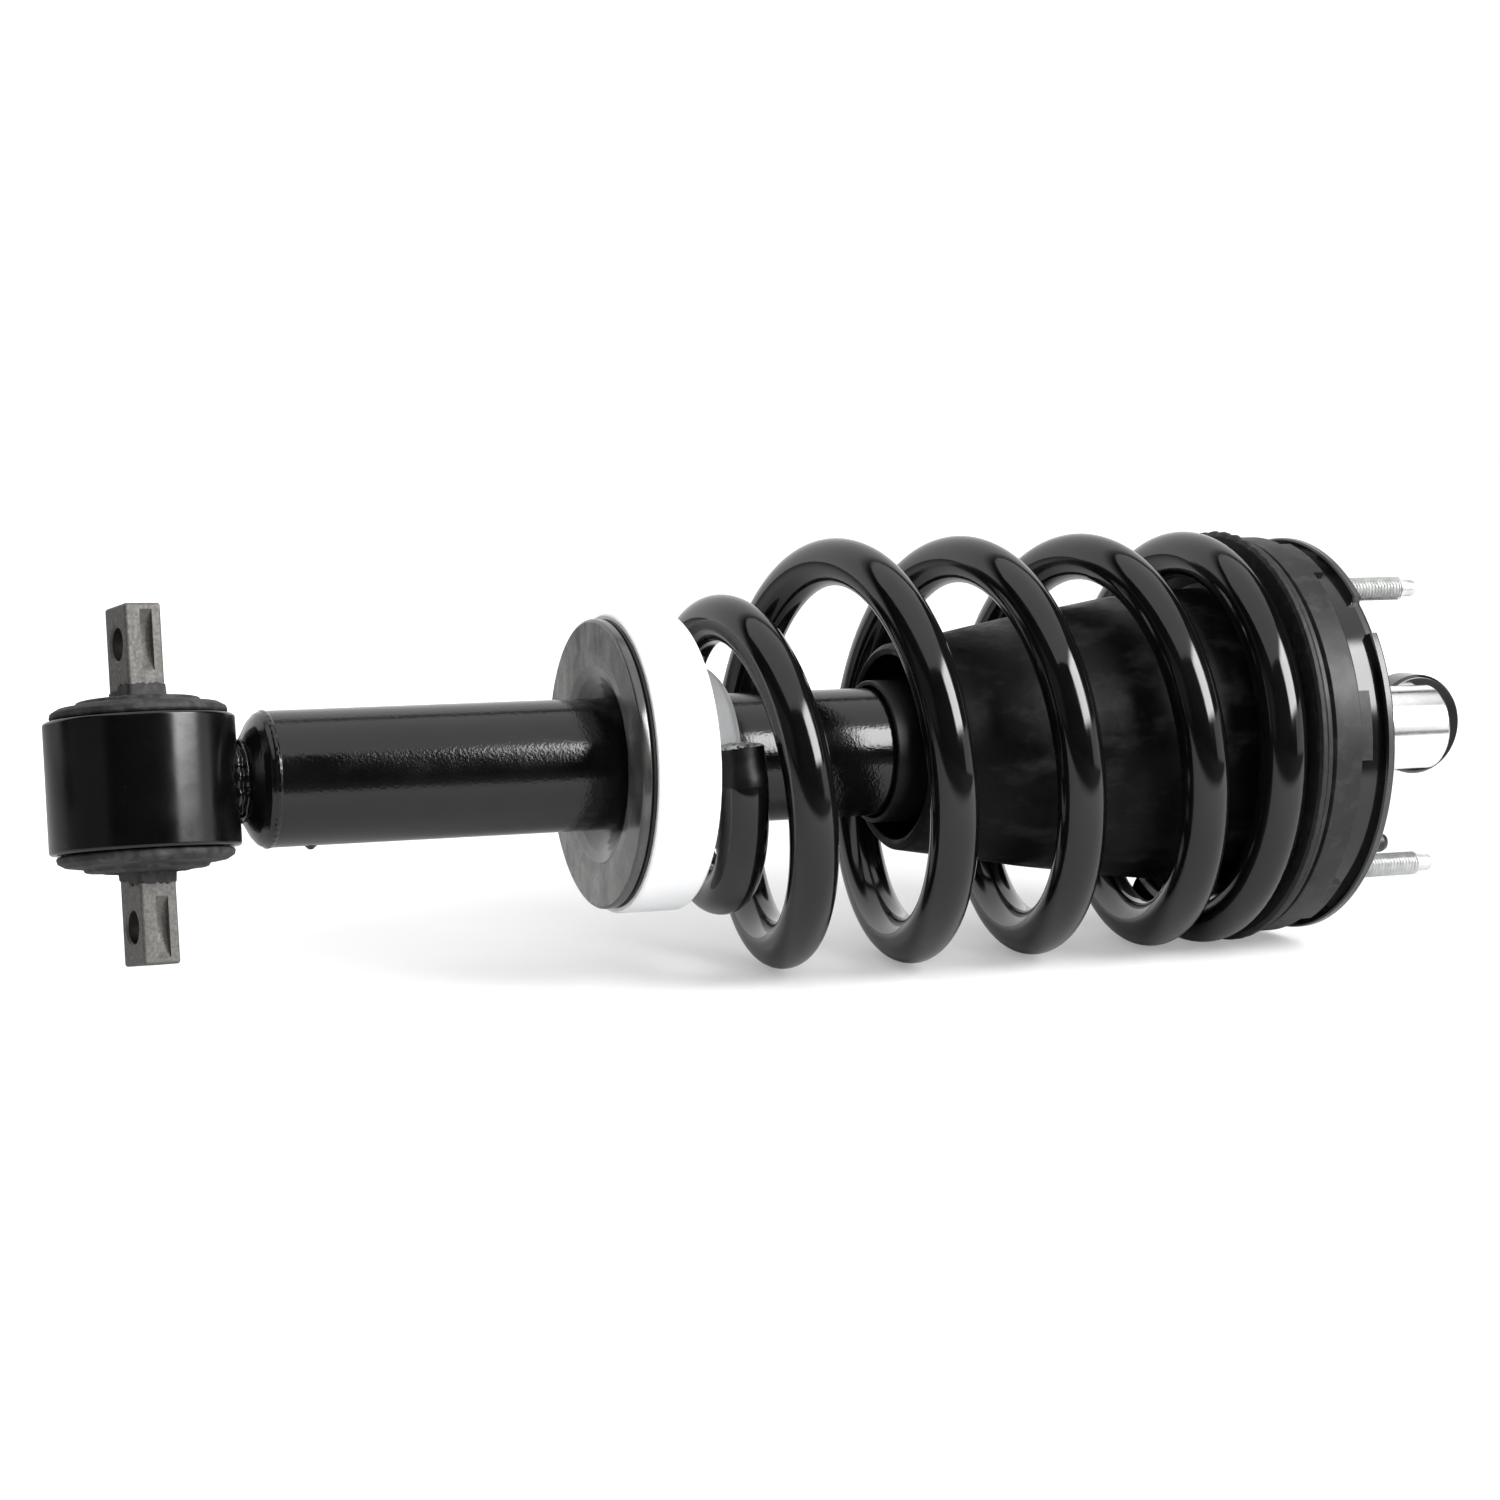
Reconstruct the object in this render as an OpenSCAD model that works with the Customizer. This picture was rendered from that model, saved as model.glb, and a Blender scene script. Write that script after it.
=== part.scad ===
// Coil-over strut assembly for a pick-up truck front suspension.
// +X runs along the damper axis from the lower eye to the upper mount, +Z is up and +Y is
// away from the front view. The origin is the centre of the mounting plate's outer face.
// The modules count X from the centre of the lower eye, and placed() moves them. Millimetres.

/* [Lower eye] */
// Outside diameter of the eye sleeve
eye_d = 71; // [69:0.5:74]
// Length of the eye sleeve along the bar pin
eye_len = 49.5; // [46:0.5:54]
// Length of the bar pin
pin_len = 134.5; // [131:0.5:140]
// Distance between the two bolt holes of the bar pin
pin_hole_gap = 105.6; // [104:0.2:108]
// Diameter of each bolt hole in the bar pin
pin_hole_d = 12.4; // [11:0.1:13]
// Turn of the eye about the damper axis from vertical, degrees
eye_clock = 10.6; // [0:0.2:20]
// Turn of the bar pin about its own axis, degrees
pin_twist = 10; // [0:1:15]

/* [Damper] */
// Outside diameter of the damper tube
tube_d = 52; // [50:0.1:52.6]
// Wall of the damper tube
tube_wall = 2.5; // [2:0.1:3]
// Where the closed top end of the tube lies
tube_top = 335; // [320:1:338]
// Diameter of the piston rod
rod_d = 22; // [20:0.5:23]
// Bore of the inner pressure tube
bore_d = 36; // [35:0.2:37]

/* [Lower spring seat] */
// Diameter of the stamped spring seat
seat_d = 114.4; // [110:0.2:118]
// Face of the seat that faces the lower eye
seat_x = 178; // [177:0.2:179]
// Diameter of the white slip ring
ring_d = 118.4; // [114:0.2:122]
// Spring-side face of the white slip ring
ring_x = 209.8; // [208:0.2:210]
// Diameter of the slip ring's centring collar
collar_d = 74; // [72:0.5:78]

/* [Coil spring] */
// Wire diameter of the coil spring
wire_d = 19.2; // [17:0.1:19.2]
// Mean coil radius of the active turns
coil_r = 77.6; // [76:0.1:79]
// Mean coil radius at the lower tip
tip_r = 51.5; // [51:0.1:53]
// Pitch of the active turns
coil_pitch = 55.4; // [54:0.1:56]

/* [Upper mount] */
// Diameter of the mounting plate
plate_d = 167.2; // [164:0.2:172]
// Outer face of the mounting plate
plate_x = 493.4; // [492:0.2:496]
// Thickness of the mounting plate
plate_t = 4; // [3:0.5:5]
// Pitch circle diameter of the studs
stud_pcd = 135; // [132:0.5:137]
// Angle of the first stud from vertical, degrees
stud_clock = 21.7; // [18:0.1:26]
// Thread diameter of the studs
stud_d = 10; // [8:1:10]
// Length the studs stand out of the plate
stud_len = 45; // [30:1:50]
// Diameter of the polished terminal sleeve
can_d = 36.3; // [34:0.1:38]
// Length the terminal sleeve stands out of the plate
can_len = 71.6; // [60:0.2:76]

/* [Hidden] */
$fn = 96;
e = 0.01;
eye_r = eye_d / 2;
tube_r = tube_d / 2;
rod_r = rod_d / 2;
bore_r = bore_d / 2;
shell_r = eye_r - 4.5;
barrel_r = 14;
run = 0.05;
pin_flat_w = 14.2;
pin_flat_t = 21;
lip_t = 5;
cap_x = 37.6;
cap_end = 46;
piston_x = 284;
guide_x = 316;
seat_lip = 3.8;
pad_t = 2;
top_x = 456.6;
shroud_x = 463.4;
wall_x = 478;
ring_r = ring_d / 2;
plate_r = plate_d / 2;
hub_r = 33;
stud_r = stud_d / 2;
knurl_r = stud_r + 0.4;
can_r = can_d / 2;
can_x = plate_x + 0.3;
coil_turns = 5.32;
coil_start = -0.03;
coil_lead = 11;
coil_steps = 40;
coil_sides = 14;
coil_low = ring_x + wire_d / 2 + 0.35;
coil_high = top_x - wire_d / 2 - 0.3;
hub_out = tube_r + 3.4;

// Moves a shape counted from the lower eye to the frame's origin
module placed() { translate([-plate_x, 0, 0]) children(); }
// Solid of revolution about X from [radius, x] points
module rev(pts) { rotate([0, 90, 0]) rotate_extrude() polygon(pts); }
// Plain tube about X with chamfered ends
module pipe(r_out, r_in, x0, x1, c = 0) {
  rev([[r_in, x0], [r_out - c, x0], [r_out, x0 + c], [r_out, x1 - c], [r_out - c, x1], [r_in, x1]]);
}
// The eye's own frame, whose Z is the bar pin's axis
module at_eye() { rotate([-eye_clock, 0, 0]) children(); }
// Angle a about X from +Z towards -Y, at radius r and height x
module around(a, r, x) { translate([x, -r * sin(a), r * cos(a)]) children(); }

module eye_sleeve() {
  h = eye_len / 2;
  placed() color([0.05, 0.05, 0.05]) at_eye() rotate_extrude()
    polygon([[shell_r, -h], [eye_r - 1.2, -h], [eye_r, -h + 1.2], [eye_r, h - 1.2],
      [eye_r - 1.2, h], [shell_r, h]]);
}

module bush_shell() {
  h = eye_len / 2 - 0.5;
  placed() color([0.35, 0.35, 0.36]) at_eye() rotate_extrude()
    translate([shell_r - 2, -h]) square([2, 2 * h]);
}

module bush_rubber() {
  h = eye_len / 2;
  step_h = h + 0.4 + lip_t;
  upper = [[shell_r - 2, 0], [shell_r - 2, h + 0.4], [eye_r - 3.2, h + 0.4], [eye_r - 2.5, h + 1.4],
    [eye_r - 3.0, h + 3.2], [eye_r - 6, h + 4.8], [eye_r - 9.5, step_h], [23.5, step_h + 0.2],
    [22.6, step_h + 2.2], [barrel_r + run, step_h + 2.2]];
  lower = [for (i = [len(upper) - 1:-1:1]) [upper[i][0], -upper[i][1]]];
  placed() color([0.08, 0.08, 0.08]) at_eye() rotate_extrude() polygon(concat(upper, lower));
}

// Forged bar pin: round barrel in the bush, flattened ends, one bolt hole in each end
module bar_pin() {
  barrel_h = eye_len / 2 + lip_t + 2.6;
  placed() color([0.45, 0.44, 0.42]) at_eye() rotate([0, 0, pin_twist]) difference() {
    union() {
      cylinder(r = barrel_r, h = 2 * barrel_h, center = true);
      cube([pin_flat_w, pin_flat_t, pin_len], center = true);
    }
    for (s = [-1, 1]) {
      translate([0, 0, s * pin_hole_gap / 2]) rotate([0, 90, 0])
        cylinder(d = pin_hole_d, h = 40, center = true);
      // Clip slot, cut by a round cutter into the front face
      translate([1, -pin_flat_t / 2 - 17.2, s * (pin_hole_gap / 2 + 0.6)]) rotate([0, 90, 0])
        cylinder(r = 20.7, h = 4.8, center = true);
    }
  }
}

// Forged neck welded between the eye and the tube's base cap
module eye_neck() {
  placed() color([0.05, 0.05, 0.05]) difference() {
    union() {
      rev([[0, 26], [14.2, 26], [14.2, cap_x + 0.2], [0, cap_x + 0.2]]);
      rotate([0, 90, 0]) rotate_extrude() translate([13.2, cap_x - 2.6]) circle(r = 2.7);
      rotate([0, 90, 0]) rotate_extrude() translate([13.6, cap_x - 6.4]) circle(r = 2.5);
    }
    at_eye() cylinder(r = eye_r + e, h = 80, center = true);
  }
}

module base_cap() {
  placed() color([0.05, 0.05, 0.05]) rev([[0, cap_x + 0.2], [15.8, cap_x + 0.2], [17.4, cap_x + 0.7],
    [22.6, cap_x + 3.8], [tube_r - 0.9, cap_end - 2.4], [tube_r, cap_end], [tube_r, cap_end + 1.2],
    [tube_r - tube_wall - e, cap_end + 1.2], [tube_r - tube_wall - e, 57.3], [0, 57.3]]);
}

module damper_tube() {
  placed() color([0.05, 0.05, 0.05]) union() {
    pipe(tube_r, tube_r - tube_wall, cap_end + 1.2, tube_top - 3);
    // Drain nipple under the lower end
    around(180, tube_r - 0.6, 63.6) rotate([180, 0, 0]) cylinder(r1 = 2.8, r2 = 1.1, h = 2.4);
  }
}

module pressure_tube() {
  placed() color([0.6, 0.6, 0.62]) pipe(bore_r + 1.6, bore_r, 66, guide_x + 4);
}

module base_valve() {
  placed() color([0.55, 0.5, 0.4]) rev([[0, 58], [12, 58], [12, 61], [bore_r + 1.6, 63], [bore_r + 1.6, 66],
    [bore_r - e, 66], [bore_r - e, 70], [8, 74], [0, 74]]);
}

module rod_guide() {
  placed() color([0.5, 0.5, 0.5]) rev([[rod_r + run, guide_x - 4], [bore_r - e, guide_x - 4],
    [bore_r - e, guide_x + 4], [tube_r - tube_wall - e, guide_x + 4], [tube_r - tube_wall - e, tube_top - 8],
    [rod_r + 4, tube_top - 8], [rod_r + 4, guide_x + 8], [rod_r + run, guide_x + 8]]);
}

module rod_seal() {
  placed() color([0.1, 0.1, 0.12]) rev([[rod_r + run, guide_x + 8.3], [rod_r + 4 - e, guide_x + 8.3],
    [rod_r + 4 - e, tube_top - 8], [tube_r - tube_wall - e, tube_top - 8],
    [tube_r - tube_wall - e, tube_top - 5], [rod_r + run, tube_top - 5]]);
}

// Rolled-over end of the tube that holds the guide and the seal
module tube_closure() {
  placed() color([0.05, 0.05, 0.05]) rev([[rod_r + 1.5, tube_top - 5], [tube_r - tube_wall, tube_top - 5],
    [tube_r - tube_wall, tube_top - 3], [tube_r, tube_top - 3], [tube_r - 0.8, tube_top - 0.8],
    [tube_r - 2.6, tube_top], [rod_r + 1.5, tube_top]]);
}

module piston_rod() {
  placed() color([0.75, 0.76, 0.78]) union() {
    pipe(rod_r, 4.5, piston_x + 14, 466, 0.5);
    rev([[0, piston_x - 13], [6, piston_x - 13], [6, piston_x + 14], [rod_r, piston_x + 14],
      [rod_r, piston_x + 20], [0, piston_x + 20]]);
    pipe(7, 4.5, 466 - e, 521, 0.8);
  }
}

module piston() {
  placed() color([0.5, 0.5, 0.52]) pipe(bore_r - 1.2, 6, piston_x, piston_x + 14, 0.6);
}

module piston_band() {
  placed() color([0.15, 0.13, 0.1]) pipe(bore_r - run, bore_r - 1.2, piston_x + 2, piston_x + 12);
}

module piston_nut() {
  placed() color([0.6, 0.6, 0.6]) rotate([0, 90, 0]) translate([0, 0, piston_x - 9]) difference() {
    linear_extrude(9) polygon([for (k = [0:5]) 11 * [cos(60 * k), sin(60 * k)]]);
    translate([0, 0, -1]) cylinder(r = 6, h = 11);
  }
}

module rebound_stop() {
  placed() color([0.4, 0.42, 0.4]) pipe(bore_r - 1, rod_r, piston_x + 14, guide_x - 4.5, 1);
}

// Stamped seat: flat rim, mouth that curves in to the hub welded on the tube
module spring_seat() {
  r = seat_d / 2;
  x = seat_x;
  placed() color([0.05, 0.05, 0.05]) rev([[tube_r, x + 10], [tube_r + 1.4, x + 8.4], [tube_r + 3, x + 6.6],
    [tube_r + 5.6, x + 4.2], [tube_r + 9, x + 2], [tube_r + 13, x + 0.5], [tube_r + 17.6, x],
    [r - 1.2, x], [r, x + 0.8], [r, x + seat_lip], [tube_r + 18.6, x + seat_lip],
    [tube_r + 15, x + 4.8], [tube_r + 11.4, x + 6], [tube_r + 8, x + 8], [tube_r + 5, x + 10.6],
    [hub_out, x + 12.6], [hub_out, x + 16], [tube_r, x + 16]]);
}

module seat_pad() {
  r = seat_d / 2;
  x = seat_x + seat_lip;
  placed() color([0.08, 0.08, 0.08]) rev([[tube_r + 19, x + e], [r - 1.4, x + e], [r - 1.4, x + 0.6],
    [r - 0.2, x + 0.6], [r - 0.2, x + pad_t], [tube_r + 19, x + pad_t]]);
}

// White nylon ring the spring's end turn rests on; it stays with the spring when the damper
// is turned.
module slip_ring() {
  x = seat_x + seat_lip + pad_t + 0.1;
  c = collar_d / 2;
  placed() color([0.93, 0.94, 0.95]) rev([[tube_r + 20, x], [ring_r - 0.8, x], [ring_r, x + 0.8],
    [ring_r, ring_x - 1.6], [ring_r - 1.6, ring_x], [c, ring_x], [c, ring_x + 14.4],
    [c - 3.6, ring_x + 18], [31, ring_x + 18], [31, x + 9.1], [hub_out + run, x + 9.1],
    [hub_out + run, x + 7.4], [tube_r + 12.6, x + 3.4], [tube_r + 17, x + 1.4]]);
}

function coil_rad(t) = t < 0.75 ? tip_r + (t / 0.75) * 4.5
  : t < 1.3 ? tip_r + 4.5 + (coil_r - tip_r - 4.5) * (1 - cos(180 * (t - 0.75) / 0.55)) / 2
  : coil_r;
// The wire climbs off the ring, then takes up the full pitch
function ease(u) = let (v = max(0, min(1, u))) v * v * (3 - 2 * v);
function coil_x(t) = min(coil_high - 7 * max(0, coil_turns - t),
  coil_low + coil_lead * ease((t + 0.05) / 0.36)
  + (t < 0.6 ? 0 : t < 1 ? coil_pitch * pow(t - 0.6, 2) / 0.8 : coil_pitch * (t - 0.8)));
function coil_point(t) = [coil_x(t), -coil_rad(t) * cos(360 * t), -coil_rad(t) * sin(360 * t)];

module coil_spring() {
  n = round(coil_steps * (coil_turns - coil_start));
  pts = [for (i = [0:n]) let (t = coil_start + i * (coil_turns - coil_start) / n, p = coil_point(t),
      u = coil_point(t + 0.002) - coil_point(t - 0.002), w = u / norm(u),
      g = [0, -cos(360 * t), -sin(360 * t)], q = g - (g * w) * w, a = q / norm(q), b = cross(w, a),
      c = i == 0 || i == n ? wire_d / 2 - 0.6 : wire_d / 2)
    for (k = [0:coil_sides - 1]) p + c * (cos(360 * k / coil_sides) * a + sin(360 * k / coil_sides) * b)];
  m = coil_sides;
  faces = concat([[for (k = [0:m - 1]) k]],
    [for (i = [0:n - 1]) for (k = [0:m - 1]) let (k2 = (k + 1) % m)
      [i * m + k, (i + 1) * m + k, (i + 1) * m + k2, i * m + k2]],
    [[for (k = [m - 1:-1:0]) n * m + k]]);
  placed() color([0.06, 0.06, 0.06]) polyhedron(pts, faces, convexity = 12);
}

// Hard shield the tube slides into
module dust_tube() {
  placed() color([0.09, 0.09, 0.09]) union() {
    pipe(29, 26.9, 296.5, 468, 0.7);
    rev([[rod_r + 6, 466], [27.5, 466], [27.5, 469], [rod_r + 6, 469]]);
  }
}

module jounce_bumper() {
  placed() color([0.8, 0.75, 0.5]) rev([[rod_r + 0.6, 405], [18, 405], [21.5, 409], [22.5, 416], [19.5, 424],
    [23.5, 432], [20.5, 442], [24.5, 451], [24.5, 465.7], [rod_r + 0.6, 465.7]]);
}

// Tapered rubber boot over the shield, held by its bead in the insulator
module dust_boot() {
  placed() color([0.08, 0.08, 0.08]) translate([0, 0, 1.5]) rev([[37.6, 306], [40, 305], [42.2, 307],
    [46.5, 334], [51.5, 361], [55.4, 387], [58.5, 406], [61, 428], [61.6, 450], [64, 452.5],
    [64, top_x - 0.2], [58, top_x - 0.2], [58, 430], [55.5, 407], [52.4, 388], [48.5, 362],
    [43.5, 335], [39, 310]]);
}

// Rubber ring between the spring's top end and the seat
module insulator() {
  r = coil_r + wire_d / 2 + 0.2;
  placed() color([0.08, 0.08, 0.08]) union() {
    rev([[58, top_x], [r - 1.6, top_x], [r, top_x + 1.2], [r, top_x + 2.6], [r - 1, top_x + 3.4],
      [58, top_x + 3.4]]);
    // Serrated outer edge
    for (k = [0:59]) around(6 * k, r - 0.6, top_x + 0.4) rotate([0, 90, 0])
      cylinder(r = 1.3, h = 2.6, $fn = 16);
  }
}

// Satin seat band between the insulator and the plate, with locking steps along its edge
module upper_seat() {
  placed() color([0.17, 0.17, 0.18]) union() {
    rev([[58, top_x + 3.5], [84.6, top_x + 3.5], [85.2, top_x + 4.4], [85.2, shroud_x - 0.6],
      [82.4, shroud_x], [82.4, shroud_x + 1.2], [84.2, shroud_x + 2], [84.2, wall_x - 1],
      [83.4, wall_x - 0.2], [58, wall_x - 0.2]]);
    for (k = [0:5]) rotate([60 * k + 22, 0, 0]) translate([wall_x - 3, 0, 0])
      intersection() {
        pipe(84, 80.8, 0, 7.4);
        translate([0, -14, 70]) cube([10, 28, 20]);
      }
  }
}

// Pressed steel mounting plate: flat face, side wall, rim with a cut-out beside the first stud
module mount_plate() {
  face_x = plate_x - plate_t;
  placed() color([0.05, 0.05, 0.05]) difference() {
    union() {
      pipe(plate_r, hub_r, face_x, plate_x, 0.7);
      pipe(80, 76.5, wall_x, face_x + e);
      pipe(hub_r + 3, hub_r, wall_x - 4, face_x + e);
    }
    // Cut-out of the rim
    rotate([0, 90, 0]) translate([0, 0, face_x - e]) difference() {
      linear_extrude(plate_t + 2 * e) polygon([[0, 0], for (a = [42, 55]) 96 * [-cos(a), -sin(a)]]);
      translate([0, 0, -1]) cylinder(r = 80, h = plate_t + 3);
    }
    for (k = [0:2]) around(stud_clock + 120 * k, stud_pcd / 2, face_x - 1) rotate([0, 90, 0])
      cylinder(r = knurl_r + e, h = plate_t + 2);
    around(stud_clock + 106, stud_pcd / 2, face_x - 1) rotate([0, 90, 0])
      cylinder(r = 4.2 + e, h = plate_t + 2);
  }
}

module studs() {
  face_x = plate_x - plate_t;
  placed() color([0.78, 0.79, 0.78]) for (k = [0:2]) around(stud_clock + 120 * k, stud_pcd / 2, 0) union() {
    rev([[0, face_x - 2.6], [8, face_x - 2.6], [8, face_x - e], [knurl_r, face_x - e],
      [knurl_r, plate_x - 0.5], [stud_r, plate_x], [stud_r, plate_x + stud_len - 7.5],
      [stud_r - 1.2, plate_x + stud_len - 6.2], [stud_r - 1.4, plate_x + stud_len - 0.8],
      [stud_r - 2.2, plate_x + stud_len], [0, plate_x + stud_len]]);
  }
}

module locating_pin() {
  placed() color([0.07, 0.07, 0.07]) around(stud_clock + 106, stud_pcd / 2, 0)
    rev([[0, plate_x - plate_t - 1.5], [5.2, plate_x - plate_t - 1.5], [5.2, plate_x - plate_t - e],
      [4.2, plate_x - plate_t - e], [4.2, plate_x + 13], [3.2, plate_x + 15.4], [0, plate_x + 16]]);
}

module mount_rubber() {
  placed() color([0.1, 0.1, 0.1]) rev([[14, wall_x - 3], [hub_r - e, wall_x - 3], [hub_r - e, plate_x - 0.4],
    [24, plate_x - 1.6], [14, plate_x - 0.4]]);
}

module mount_bush() {
  placed() color([0.6, 0.6, 0.62]) rev([[7, 469.2], [19, 469.2], [19, 472], [14 - e, 473.5],
    [14 - e, plate_x], [7, plate_x]]);
}

module rod_washer() {
  placed() color([0.6, 0.6, 0.62]) pipe(15.4, 7, plate_x + 0.1, plate_x + 2.6, 0.4);
}

module rod_nut() {
  placed() color([0.6, 0.6, 0.58]) rotate([0, 90, 0]) translate([0, 0, plate_x + 2.7]) difference() {
    linear_extrude(12) polygon([for (k = [0:5]) 12.6 * [cos(60 * k), sin(60 * k)]]);
    translate([0, 0, -1]) cylinder(r = 7, h = 14);
  }
}

module terminal_sleeve() {
  end_x = plate_x + can_len;
  placed() color([0.9, 0.9, 0.9]) rev([[can_r - 1.8, can_x], [can_r, can_x], [can_r, end_x - 1.6],
    [can_r - 1.6, end_x], [9, end_x], [9, end_x - 1.8], [can_r - 1.8, end_x - 1.8]]);
}

// Round connector body on the far side of the sleeve's end
module terminal_housing() {
  x = plate_x + can_len - 0.6;
  placed() color([0.06, 0.06, 0.06]) difference() {
    translate([x, 0, 0]) rotate([-90, 0, 0]) rotate_extrude() polygon([[0, 7], [20.8, 7], [21.9, 8.6],
      [21.9, 21], [19.6, 23.4], [0, 23.4]]);
    rotate([0, 90, 0]) translate([0, 0, plate_x]) cylinder(r = can_r + e, h = can_len + 30);
  }
}

module terminal_seal() {
  placed() color([0.1, 0.1, 0.1]) rev([[7.3, plate_x + can_len - 1.8], [9 - e, plate_x + can_len - 1.8],
    [9 - e, plate_x + can_len + 0.6], [7.3, plate_x + can_len + 0.6]]);
}

eye_sleeve();
bush_shell();
bush_rubber();
bar_pin();
eye_neck();
base_cap();
damper_tube();
pressure_tube();
base_valve();
rod_guide();
rod_seal();
tube_closure();
piston_rod();
piston();
piston_band();
piston_nut();
rebound_stop();
spring_seat();
seat_pad();
slip_ring();
coil_spring();
dust_tube();
jounce_bumper();
dust_boot();
insulator();
upper_seat();
mount_plate();
studs();
locating_pin();
mount_rubber();
mount_bush();
rod_washer();
rod_nut();
terminal_sleeve();
terminal_housing();
terminal_seal();
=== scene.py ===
import math

import bmesh
import bpy
import numpy as np
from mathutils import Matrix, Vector


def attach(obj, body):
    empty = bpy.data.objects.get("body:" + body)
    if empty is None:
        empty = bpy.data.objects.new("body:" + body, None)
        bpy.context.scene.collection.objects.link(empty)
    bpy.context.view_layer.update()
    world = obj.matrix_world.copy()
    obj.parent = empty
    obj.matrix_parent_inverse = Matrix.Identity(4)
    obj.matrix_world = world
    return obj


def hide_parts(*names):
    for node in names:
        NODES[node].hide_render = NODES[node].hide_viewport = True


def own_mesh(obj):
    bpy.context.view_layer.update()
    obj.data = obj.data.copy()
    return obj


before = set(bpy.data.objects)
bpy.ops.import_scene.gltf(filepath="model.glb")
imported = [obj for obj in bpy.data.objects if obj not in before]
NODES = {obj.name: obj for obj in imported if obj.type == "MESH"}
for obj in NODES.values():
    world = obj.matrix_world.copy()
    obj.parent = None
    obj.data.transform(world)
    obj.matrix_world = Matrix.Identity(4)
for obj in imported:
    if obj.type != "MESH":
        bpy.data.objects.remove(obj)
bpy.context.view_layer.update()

# Lengths below are millimetres, counted along X from the lower eye's centre.
FACE = 493.4                    # the plate's outer face, where the frame's origin lies
CLOCK = math.radians(10.6)      # the bar pin's lean about X
TWIST = math.radians(10)        # the bar pin's turn about its own axis
EYE_R, EYE_HALF = 35.5, 24.75
HOLE_Z, HOLE_R = 52.8, 6.2      # bolt holes of the bar pin
TUBE_R = 26
STUD_CIRCLE, STUD_CLOCK = 67.5, 21.7
TOP = 456.6                     # where the spring and the boot are held
FLOOR_Z = -88.0


def P(x, y, z):
    return Vector(((x - FACE) / 1000, y / 1000, z / 1000))


# ---------------------------------------------------------------- camera
cam = bpy.data.objects.new("camera", bpy.data.cameras.new("camera"))
bpy.context.scene.collection.objects.link(cam)
cam.data.lens, cam.data.sensor_width = 76.2, 36
cam.data.clip_start, cam.data.clip_end = 0.05, 60
cam.location = P(-227.46, -1175.40, 145.95)
cam.rotation_mode = "QUATERNION"
cam.rotation_quaternion = (P(244.21, 0, 2.86) - cam.location).to_track_quat("-Z", "Y")
bpy.context.scene.camera = cam


# ---------------------------------------------------------------- materials
def rgb(c, k=1.0):
    c = (c, c, c) if isinstance(c, (int, float)) else c
    return (c[0] * k, c[1] * k, c[2] * k, 1)


class Tree:
    """A small helper around one material's nodes."""

    def __init__(self, name):
        self.mat = bpy.data.materials.new(name)
        self.mat.use_nodes = True
        self.t = self.mat.node_tree
        self.bsdf = self.t.nodes["Principled BSDF"]
        self.coords = self.add("ShaderNodeTexCoord")

    def add(self, kind, **values):
        n = self.t.nodes.new(kind)
        for k, v in values.items():
            setattr(n, k, v)
        return n

    def link(self, a, b):
        self.t.links.new(a, b)

    def noise(self, scale, detail=2.0, rough=0.5, stretch=None):
        """Noise at scale features per metre; stretch scales each axis."""
        n = self.add("ShaderNodeTexNoise")
        n.inputs["Scale"].default_value = scale
        n.inputs["Detail"].default_value = detail
        n.inputs["Roughness"].default_value = rough
        source = self.coords.outputs["Object"]
        if stretch:
            m = self.add("ShaderNodeMapping")
            m.inputs["Scale"].default_value = stretch
            self.link(source, m.inputs["Vector"])
            source = m.outputs["Vector"]
        self.link(source, n.inputs["Vector"])
        return n.outputs["Fac"]

    def span(self, value, a, b, lo, hi):
        """value from a..b mapped to lo..hi, clamped."""
        n = self.add("ShaderNodeMapRange")
        for k, v in (("From Min", a), ("From Max", b), ("To Min", lo), ("To Max", hi)):
            n.inputs[k].default_value = v
        self.link(value, n.inputs["Value"])
        return n.outputs["Result"]

    def math(self, op, a, b):
        n = self.add("ShaderNodeMath", operation=op)
        for i, v in enumerate((a, b)):
            if isinstance(v, (int, float)):
                n.inputs[i].default_value = v
            else:
                self.link(v, n.inputs[i])
        return n.outputs[0]

    def mix(self, fac, a, b):
        n = self.add("ShaderNodeMix", data_type="RGBA")
        self.link(fac, n.inputs["Factor"])
        for i, v in ((6, a), (7, b)):
            if isinstance(v, tuple):
                n.inputs[i].default_value = v
            else:
                self.link(v, n.inputs[i])
        return n.outputs[2]


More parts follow.
